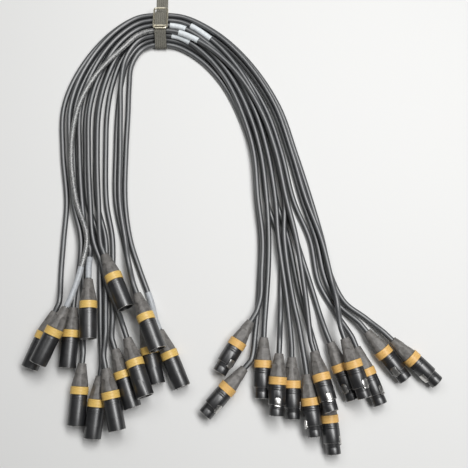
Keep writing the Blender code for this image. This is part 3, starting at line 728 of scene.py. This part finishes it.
def makeBoot():
    # four flats with an arched end are cut into the cone
    obj = turnPiece("boot", boot["profile"], boot["sides"])
    width, thick, length = inMm(boot["flatSize"])
    tilt = Matrix.Rotation(math.radians(boot["tilt"]), 4, "X")
    seat = Matrix.Translation((0, boot["archHeight"] * mm, -boot["archDepth"] * mm))
    for i in range(boot["flats"]):
        tool = roundBox((width, thick, length), (0, thick / 2, -length / 2),
                        boot["archRadius"] * mm, boot["archSteps"], alongY=True)
        turn = Matrix.Rotation(math.radians(boot["flatTurn"] + 360 / boot["flats"] * i), 4, "Z")
        tool.data.transform(turn @ seat @ tilt)
        cutWith(obj, tool)
    bevelEdges(obj, boot["edge"] * mm, boot["edgeAngle"])
    smoothShade(obj, boot["smoothAngle"])
    layRound(obj)
    return obj


ring = {
    "profile": ((8.4, 25.15), (9.75, 25.15), (9.9, 25.3), (9.9, 27.1), (9.72, 27.2), (9.72, 27.5),
                (9.9, 27.6), (9.9, 30.9), (9.72, 31.0), (9.72, 31.3), (9.9, 31.4), (9.9, 33.2),
                (9.75, 33.35), (8.4, 33.35)),
    "sides": 96, "smoothAngle": 40,
}


def makeRing():
    obj = turnPiece("ring", ring["profile"], ring["sides"])
    smoothShade(obj, ring["smoothAngle"])
    layRound(obj)
    return obj


# a line of a shell is a groove: radius, depth, width and how deep it is cut, in mm
shell = {
    "rear": ((4.0, 25.3), (8.2, 25.3), (8.2, 33.5), (8.95, 33.6), (8.95, 34.4), (9.4, 34.7)),
    "rearLines": ((9.5, 36.4, 0.5, 0.35), (9.5, 38.8, 0.5, 0.35)),
    "maleLine": (9.5, 53.6, 0.25, 0.15),
    "maleMouth": ((9.5, 66.2), (9.4, 66.7), (9.0, 67.1), (8.45, 67.1), (8.15, 66.75), (8.1, 50.0)),
    "neck": ((9.5, 54.0), (9.3, 54.5), (8.7, 54.75), (7.9, 54.8)),
    "noseLine": (7.9, 58.7, 0.5, 0.3),
    "femaleMouth": ((7.9, 65.6), (7.75, 66.2), (7.4, 66.5), (6.9, 66.5), (6.7, 66.2),
                    (6.7, 58.8)),
    "sides": 96, "smoothAngle": 30,
    "padProfile": ((9.88, 42.5), (9.88, 66.0)), "padEdge": 0.2, "padEdgeAngle": 40,
    "arch": (11.0, 6.0, 24.0), "archMiddle": (0.0, 10.5, -60.6), "archRadius": 5.3,
    "archSteps": 10, "pocket": (7.8, 6.0, 11.0), "pocketMiddle": (0.0, 9.7, -52.1),
    "pocketRadius": 2.6, "pocketSteps": 6, "pocketEdge": 0.15, "pocketEdgeAngle": 50,
}


def shellRear():
    profile = [*shell["rear"]]
    for line in shell["rearLines"]:
        profile += groove(*line)
    return profile


def makeMaleShell():
    # a pad with an arched rear end stands proud of the shell on one side
    profile = [*shellRear(), *groove(*shell["maleLine"]), *shell["maleMouth"]]
    obj = turnPiece("maleShell", profile, shell["sides"])
    pad = turnPiece("pad", shell["padProfile"], shell["sides"])
    arch = roundBox(inMm(shell["arch"]), inMm(shell["archMiddle"]), shell["archRadius"] * mm,
                    shell["archSteps"], alongY=True)
    cutWith(pad, arch, "INTERSECT")
    bevelEdges(pad, shell["padEdge"] * mm, shell["padEdgeAngle"])
    cutWith(obj, pad, "UNION")
    smoothShade(obj, shell["smoothAngle"])
    layRound(obj)
    return obj


def makeFemaleShell():
    # the nose is narrower, and the latch lies in a pocket
    profile = [*shellRear(), *shell["neck"], *groove(*shell["noseLine"]), *shell["femaleMouth"]]
    obj = turnPiece("femaleShell", profile, shell["sides"])
    pocket = roundBox(inMm(shell["pocket"]), inMm(shell["pocketMiddle"]),
                      shell["pocketRadius"] * mm, shell["pocketSteps"], alongY=True)
    cutWith(obj, pocket)
    bevelEdges(obj, shell["pocketEdge"] * mm, shell["pocketEdgeAngle"])
    cleanFaces(obj)
    smoothShade(obj, shell["smoothAngle"])
    layRound(obj)
    return obj


insert = {"male": ((7.9, 48.5), (7.9, 51.4), (7.7, 51.6)),
          "female": ((6.6, 59.1), (6.6, 65.5), (6.4, 65.8)), "sides": 64,
          "key": (2.4, 2.2, 9.0), "keyMiddle": (0.0, 6.8, -55.5), "keyEdge": 0.4}
contacts = {"pin": ((1.2, 51.2), (1.2, 59.9), (1.05, 60.4), (0.7, 60.7), (0.2, 60.8)),
            "hole": ((1.45, 60.5), (1.45, 66.8)), "sides": 20,
            "circle": 3.96, "count": 3, "firstAngle": -90}


def makeContacts(name, profile):
    # one turned piece at each place of the contact circle
    pieces = []
    for i in range(contacts["count"]):
        piece = turnPiece(name, profile, contacts["sides"])
        angle = math.radians(360 / contacts["count"] * i + contacts["firstAngle"])
        spot = Vector((math.cos(angle), math.sin(angle), 0)) * contacts["circle"] * mm
        piece.data.transform(Matrix.Translation(spot))
        pieces.append(piece)
    return pieces


def makeMaleInsert():
    # the disc that holds the pins, with the key of the plug on it
    disc = turnPiece("maleInsert", insert["male"], insert["sides"])
    key = roundBox(inMm(insert["key"]), inMm(insert["keyMiddle"]), insert["keyEdge"] * mm)
    cutWith(disc, key, "UNION")
    cleanFaces(disc)
    smoothShade(disc)
    layRound(disc)
    return disc


def makePins():
    first, *others = makeContacts("pins", contacts["pin"])
    selectOnly(first, others)
    bpy.ops.object.join()
    smoothShade(first)
    return first


def makeFemaleInsert():
    obj = turnPiece("femaleInsert", insert["female"], insert["sides"])
    for hole in makeContacts("hole", contacts["hole"]):
        cutWith(obj, hole)
    smoothShade(obj)
    layRound(obj)
    return obj


# the crowns say how far the plate's face lies below its top, at what distance from its rear or
# front end
latch = {
    "width": 7.2, "from": 46.9, "to": 57.3, "top": 9.85, "under": 8.2, "core": 2.0, "sides": 128,
    "rearCrown": ((0.3, 0.0), (0.0, 0.6)),
    "frontCrown": ((0.0, 3.2), (0.35, 2.4), (0.0, 1.7), (0.0, 0.6), (0.4, 0.0)),
    "corner": 2.3, "cornerSteps": 8, "slabHeight": 3.0, "edge": 0.2, "edgeAngle": 35,
    "edgeSteps": 3, "smoothAngle": 45,
}


def makeLatch():
    # thumb plate with a crowned top, a grip line near its front and a flat underside
    top, start, end = latch["top"], latch["from"], latch["to"]
    profile = [(latch["core"], start)]
    profile += [(top - drop, start + ahead) for drop, ahead in latch["rearCrown"]]
    profile += [(top - drop, end - back) for drop, back in latch["frontCrown"]]
    profile += [(latch["core"], end)]
    plate = turnPiece("latch", profile, latch["sides"])
    slab = roundBox((latch["width"] * mm, latch["slabHeight"] * mm, (end - start) * mm),
                    (0, (latch["under"] + latch["slabHeight"] / 2) * mm, -(start + end) / 2 * mm),
                    latch["corner"] * mm, latch["cornerSteps"], alongY=True)
    cutWith(plate, slab, "INTERSECT")
    bevelEdges(plate, latch["edge"] * mm, latch["edgeAngle"], latch["edgeSteps"])
    cleanFaces(plate)
    smoothShade(plate, latch["smoothAngle"])
    layRound(plate)
    return plate


maleSet = {"Boot": (makeBoot(), rubber, "boot"), "Ring": (makeRing(), paleAmber, "ring"),
           "Shell": (makeMaleShell(), maleBlack, "housing"),
           "Insert": (makeMaleInsert(), insertBlack, "insert"),
           "Pins": (makePins(), silver, "latch")}
femaleSet = {"Boot": (maleSet["Boot"][0], rubber, "boot"),
             "Ring": (maleSet["Ring"][0], amber, "ring"),
             "Shell": (makeFemaleShell(), femaleBlack, "housing"),
             "Insert": (makeFemaleInsert(), insertBlack, "insert")}
latchModel = makeLatch()
print("connector pieces modelled")


def copyTo(model, name, matrix, material, body):
    mesh = model.data.copy()
    mesh.transform(matrix)
    mesh.materials.clear()
    mesh.materials.append(material)
    piece = bpy.data.objects.new(name, mesh)
    bpy.context.scene.collection.objects.link(piece)
    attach(piece, body)
    return piece


firstNodes = {"Boot": "boot", "Ring": "ring", "Shell": "housing", "Insert": "insert",
              "Pins": "insert"}
# degrees that each male shell is turned round its axis from arch up, so that only some arches show
archTurns = {1: 125, 2: -140, 3: 160, 4: -12, 5: 150, 6: -160, 7: 180, 8: 140, 9: 175, 10: -130,
             11: 70, 12: 8, 13: 15}

for number, (layer, slot, left, right) in cables.items():
    tag = f"{number:02d}"
    maleMatrix = endMatrix(left, connector["maleLength"])
    femaleMatrix = endMatrix(right, connector["femaleLength"])
    ends = (("male", maleSet, maleMatrix), ("female", femaleSet, femaleMatrix))
    for kind, models, matrix in ends:
        for part, (model, material, slotName) in models.items():
            turn = archTurns[number] if (kind, part) == ("male", "Shell") else 0
            turned = matrix @ Matrix.Rotation(math.radians(turn), 4, "Z")
            piece = copyTo(model, f"{kind}{part}_{tag}", turned, material, mainBody)
            node = f"{kind}_{firstNodes[part]}_01" if number == 1 else f"{kind}_connector_{tag}"
            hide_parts(node)
    plate = copyTo(latchModel, f"latchPlate_{tag}", femaleMatrix, chrome, f"latch_{tag}")
    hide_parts(f"latch_{tag}")
for model in {*(m[0] for m in maleSet.values()), *(m[0] for m in femaleSet.values()), latchModel}:
    bpy.data.objects.remove(model, do_unlink=True)
print("connectors placed")


# Strap and buckle

strap = {"width": 14.0 * mm, "thickness": 1.5 * mm, "clear": 3.4 * mm, "tail": 30.0 * mm,
         "floorGap": 0.03 * mm, "turnStep": 0.12, "endAngle": -40, "step": 0.9 * mm,
         "columns": 56, "ribs": 6, "ribDepth": 0.34 * mm, "ribMiddle": 0.6,
         "edge": 0.2 * mm, "edgeAngle": 60, "smoothAngle": 50}
# the outermost cords at the tie, which the strap goes round, as y and z
bundleCorners = [(tie["y"] + slot * tie["pitch"], tie[layer])
                 for slot, layer in ((-3.0, "low"), (3.0, "low"), (2.5, "upper"), (-1.0, "top"))]


def bandLine(offset):
    # centre line of the webbing, from the tail's end under the cords and round them
    line = [Vector((bundleCorners[1][0] + strap["tail"],
                    strap["thickness"] / 2 + strap["floorGap"]))]
    line.append(Vector((bundleCorners[0][0], bundleCorners[0][1] - offset)))
    order = (0, 3, 2, 1)
    for i, index in enumerate(order):
        corner = Vector(bundleCorners[index])
        nextCorner = Vector(bundleCorners[order[(i + 1) % 4]])
        beforeCorner = Vector(bundleCorners[order[i - 1]])
        arrive = (corner - beforeCorner).normalized() if i else Vector((-1, 0))
        leave = (nextCorner - corner).normalized()
        start = math.atan2(arrive.x, -arrive.y)
        end = math.atan2(leave.x, -leave.y)
        if i == 3:
            # the inner end stops part of the way round the last corner
            end = math.radians(strap["endAngle"])
        while end > start:
            end -= 2 * math.pi
        count = max(2, int((start - end) / strap["turnStep"]))
        for k in range(count + 1):
            angle = start + (end - start) * k / count
            line.append(corner + Vector((math.cos(angle), math.sin(angle))) * offset)
    return line


def makeStrap():
    # a ribbed grid, bent along the centre line row by row and then made thick
    line = evenly(bandLine(strap["clear"] + strap["thickness"] / 2), strap["step"])
    rows = len(line)
    deselectAll()
    bpy.ops.mesh.primitive_grid_add(x_subdivisions=strap["columns"], y_subdivisions=rows - 1,
                                    size=1.0)
    obj = bpy.context.object
    obj.name = "webbingStrap"
    layer = obj.data.uv_layers.active
    for loop in obj.data.loops:
        point = obj.data.vertices[loop.vertex_index].co
        layer.data[loop.index].uv = (point.x + 0.5, (point.y + 0.5) * (rows - 1) * strap["step"])
    for vertex in obj.data.vertices:
        across = vertex.co.x
        row = round((vertex.co.y + 0.5) * (rows - 1))
        before, after = line[max(row - 1, 0)], line[min(row + 1, rows - 1)]
        along = (after - before).normalized()
        outward = Vector((along.y, -along.x))
        wave = abs(math.sin((across + 0.5) * math.pi * strap["ribs"]))
        spot = line[row] + outward * (strap["ribDepth"] * (wave - strap["ribMiddle"]))
        vertex.co = (across * strap["width"], spot.x, spot.y)
    applyModifier(obj, "SOLIDIFY", thickness=strap["thickness"] - 2 * strap["ribDepth"], offset=0.0)
    bevelEdges(obj, strap["edge"], strap["edgeAngle"])
    smoothShade(obj, strap["smoothAngle"])
    return obj


strapPiece = makeStrap()
strapPiece.data.materials.append(webbing)
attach(strapPiece, mainBody)
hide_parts("strap")

buckle = {"wire": 1.1 * mm, "wireSides": 5, "length": 31.0 * mm, "overhang": 6.0 * mm,
          "corner": 3.0 * mm, "cornerSteps": 8, "halfWidth": 8.1 * mm, "lift": 6.35 * mm,
          "barGap": 3.6 * mm}


def makeBuckle():
    # a closed loop of wire on the bundle's slope, with a second bar across it
    outer, top = Vector(bundleCorners[2]), Vector(bundleCorners[3])
    along = (outer - top).normalized()
    normal = Vector((-along.y, along.x))
    middle = outer + along * (buckle["overhang"] - buckle["length"] / 2) + normal * buckle["lift"]
    points = []
    for turn, (sx, sy) in enumerate(((1, 1), (-1, 1), (-1, -1), (1, -1))):
        cx = sx * (buckle["length"] / 2 - buckle["corner"])
        cy = sy * (buckle["halfWidth"] - buckle["corner"])
        for k in range(buckle["cornerSteps"] + 1):
            angle = math.pi / 2 * (turn + k / buckle["cornerSteps"])
            a = cx + buckle["corner"] * math.cos(angle)
            b = cy + buckle["corner"] * math.sin(angle)
            points.append(Vector((b, middle.x + along.x * a, middle.y + along.y * a)))
    obj = tubeCurve("buckleWire", points, buckle["wire"], buckle["wireSides"])
    obj.data.splines[0].use_cyclic_u = True
    second = along * (buckle["barGap"] - buckle["length"] / 2) + middle
    bar = obj.data.splines.new("POLY")
    bar.points.add(1)
    for target, side in zip(bar.points, (-1, 1)):
        target.co = (side * buckle["halfWidth"], second.x, second.y, 1.0)
    return obj


bucklePiece = makeBuckle()
bucklePiece.data.materials.append(brass)
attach(bucklePiece, mainBody)
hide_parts("strap_buckle")
print("strap and buckle made")


# Label sleeves, bare. On the right arm a sleeve covers its cord between two values of x. At a boot
# of the left arm it covers the cord between two lengths from the boot. All in metres.

sleeves = {
    "sleeveA": (4, "arm", 0.010, 0.031, whiteSleeve),
    "sleeveB": (3, "arm", 0.035, 0.062, whiteSleeve),
    "sleeveC": (1, "arm", 0.022, 0.047, whiteSleeve),
    "sleeveD": (6, "arm", 0.012, 0.036, whiteSleeve),
    "sleeveE": (1, "boot", 0.001, 0.050, graySleeve),
    "sleeveF": (3, "boot", 0.001, 0.026, graySleeve),
    "sleeveG": (13, "boot", 0.001, 0.048, graySleeve),
}
sleeveShape = {"inner": 3.1 * mm, "outer": 3.4 * mm, "sides": 6, "step": 2.0 * mm,
               "lowestY": -0.08, "smoothAngle": 45}


def pickPath(number, where, low, high):
    step = sleeveShape["step"]
    spots = evenly(routes[number], step)
    if where == "arm":
        pastLeftArm = spots[len(spots) // 3:]
        return [p for p in pastLeftArm if low <= p.x <= high and p.y > sleeveShape["lowestY"]]
    return spots[int(low / step) + 1:int(high / step) + 1]


def makeSleeve(name, path):
    selectOnly(tubeCurve(name, path, sleeveShape["outer"], sleeveShape["sides"], caps=False))
    bpy.ops.object.convert(target="MESH")
    obj = bpy.context.object
    applyModifier(obj, "SOLIDIFY", thickness=sleeveShape["outer"] - sleeveShape["inner"],
                  offset=-1.0)
    smoothShade(obj, sleeveShape["smoothAngle"])
    return obj


sleevesOn = {number: [] for number in cables}
for name, (number, where, low, high, material) in sleeves.items():
    piece = makeSleeve(name, pickPath(number, where, low, high))
    piece.data.materials.clear()
    piece.data.materials.append(material)
    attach(piece, mainBody)
    sleevesOn[number].append(piece)
print("sleeves fitted")
